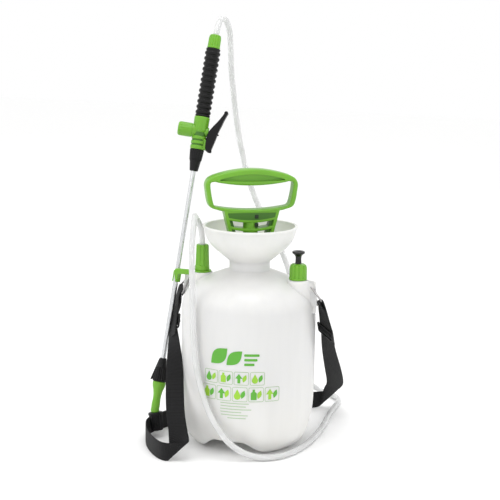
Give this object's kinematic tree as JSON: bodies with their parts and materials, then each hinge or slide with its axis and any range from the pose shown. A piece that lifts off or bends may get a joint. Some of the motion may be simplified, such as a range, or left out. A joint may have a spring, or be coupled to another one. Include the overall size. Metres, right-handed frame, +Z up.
{
  "type": "pump sprayer",
  "caption": "Hand-pumped pressure sprayer: translucent tank with funnel mouth and D handle, relief valve, hose, trigger lance with elbow nozzle, and shoulder strap.",
  "frame": {"origin": "on the tank axis, in the plane of the feet", "axes": "+Z up along the tank axis, +X towards the relief valve, -X towards the hose outlet, -Y towards the printed front"},
  "size_m": [0.2585, 0.3834, 0.5998],
  "materials": {
    "tank_plastic": "translucent blow-moulded, satin",
    "green_plastic": "moulded, satin",
    "black_plastic": "moulded, satin",
    "black_gloss": "moulded, glossy",
    "white_plastic": "moulded, satin",
    "black_rubber": "moulded, matt",
    "silver_metal": "satin",
    "ring_steel": "plated wire",
    "webbing": "woven",
    "clear_hose": "clear extruded"
  },
  "bodies": {
    "tank": {"tank": "tank_plastic", "barrel_gasket": "black_rubber", "pump_cap": "black_plastic", "pump_barrel": "white_plastic", "foot_valve": "black_rubber", "outlet_nut": "green_plastic", "outlet_barb": "white_plastic", "outlet_gasket": "black_rubber", "dip_tube": "clear_hose", "dip_filter": "white_plastic", "lance_clip": "green_plastic", "relief_cap": "green_plastic", "relief_seat": "white_plastic", "ring_left": "ring_steel", "ring_right": "ring_steel", "slider_left": "black_plastic", "slider_right": "black_plastic", "shoulder_strap": "webbing", "hose": "clear_hose", "hose_nut": "green_plastic", "grip_core": "black_plastic", "grip_sleeve": "black_rubber", "valve_body": "green_plastic", "valve_cap": "green_plastic", "valve_seal": "black_rubber", "trigger_pin": "ring_steel", "lance_nut": "black_plastic", "lance_seal": "black_rubber", "lance_tube": "silver_metal", "tube_nut": "black_plastic", "tube_seal": "black_rubber", "nozzle_elbow": "green_plastic", "nozzle_core": "black_plastic", "nozzle_ring": "black_rubber"},
    "piston": {"piston": "white_plastic", "piston_cup": "black_rubber"},
    "handle": {"pump_handle": "green_plastic", "piston_rod": "white_plastic", "rod_end_nut": "ring_steel"},
    "relief": {"relief_knob": "black_gloss", "relief_washer": "black_rubber", "relief_spring": "ring_steel"},
    "trigger": {"trigger": "black_plastic"},
    "stem": {"valve_stem": "white_plastic", "valve_spring": "ring_steel"},
    "nozzle": {"nozzle_cap": "black_plastic"}
  },
  "joints": [
    {"name": "pump_stroke", "type": "slide", "parent": "tank", "child": "piston", "axis": [0, 0, 1], "range_m": [0, 0.155]},
    {"name": "handle_turn", "type": "hinge", "parent": "piston", "child": "handle", "pos_m": [0, 0, 0.3], "axis": [0, 0, 1], "range_deg": [0, 90]},
    {"name": "relief_pull", "type": "slide", "parent": "tank", "child": "relief", "axis": [0, 0, 1], "range_m": [0, 0.004], "stiffness_N_per_m": 500, "springref_m": -0.003, "deforming": ["relief_spring"]},
    {"name": "trigger_squeeze", "type": "hinge", "parent": "tank", "child": "trigger", "pos_m": [-0.08325, 0.04694, 0.41052], "axis": [0.3331, -0.9253, 0.1811], "range_deg": [0, 9], "stiffness_Nm_per_rad": 0.3},
    {"name": "stem_slide", "type": "slide", "parent": "tank", "child": "stem", "axis": [-0.94, -0.3109, 0.1405], "range_m": [0, 0.0036]},
    {"name": "nozzle_turn", "type": "hinge", "parent": "tank", "child": "nozzle", "pos_m": [-0.1266, -0.0414, 0.039], "axis": [0.1698, -0.0799, -0.9822], "range_deg": [-180, 180]}
  ],
  "couplings": [
    {"joint": "stem_slide", "follows": "trigger_squeeze", "m_per_rad": 0.0229}
  ]
}
